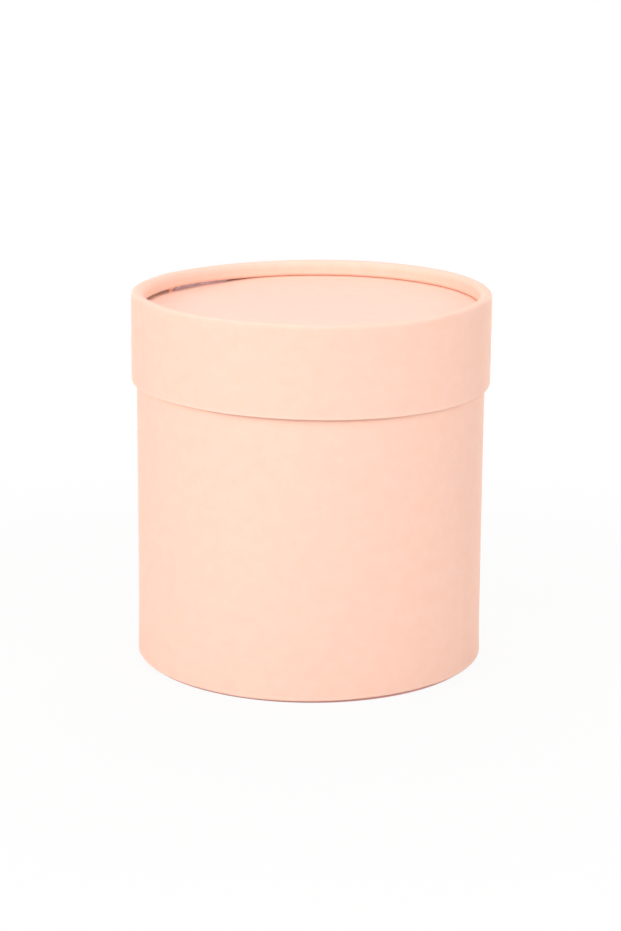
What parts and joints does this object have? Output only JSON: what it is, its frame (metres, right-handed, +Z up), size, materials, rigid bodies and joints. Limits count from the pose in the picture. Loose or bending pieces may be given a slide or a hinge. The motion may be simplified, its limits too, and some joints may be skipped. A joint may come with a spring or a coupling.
{
  "type": "round flower box",
  "caption": "Round paper-covered gift box with a lift-off lid whose rim is curled over a recessed disc.",
  "frame": {"origin": "on the box's axis, at the underside of the base, where the box stands", "axes": "+Z is up along the axis of the box and its lid; the lid lifts off along +Z; X and Y are any two level directions, since the box is round"},
  "size_m": [0.118, 0.118, 0.1224],
  "materials": {
    "greyboard": "raw recycled board, matt",
    "peach_cover_paper": "uncoated dyed cover paper, matt",
    "liner_paper": "uncoated off-white lining paper, matt"
  },
  "bodies": {
    "box": {"box_wall_board": "greyboard", "box_base_board": "greyboard", "box_wall_wrap": "peach_cover_paper", "box_wall_liner": "liner_paper", "box_floor_liner": "liner_paper", "box_base_facing": "peach_cover_paper"},
    "lid": {"lid_wall_board": "greyboard", "lid_top_board": "greyboard", "lid_wall_wrap": "peach_cover_paper", "lid_wall_liner": "liner_paper", "lid_top_facing": "peach_cover_paper", "lid_top_liner": "liner_paper"}
  },
  "joints": [
    {"name": "lid_lift", "type": "slide", "parent": "box", "child": "lid", "axis": [0, 0, 1], "range_m": [0, 0.08]}
  ]
}
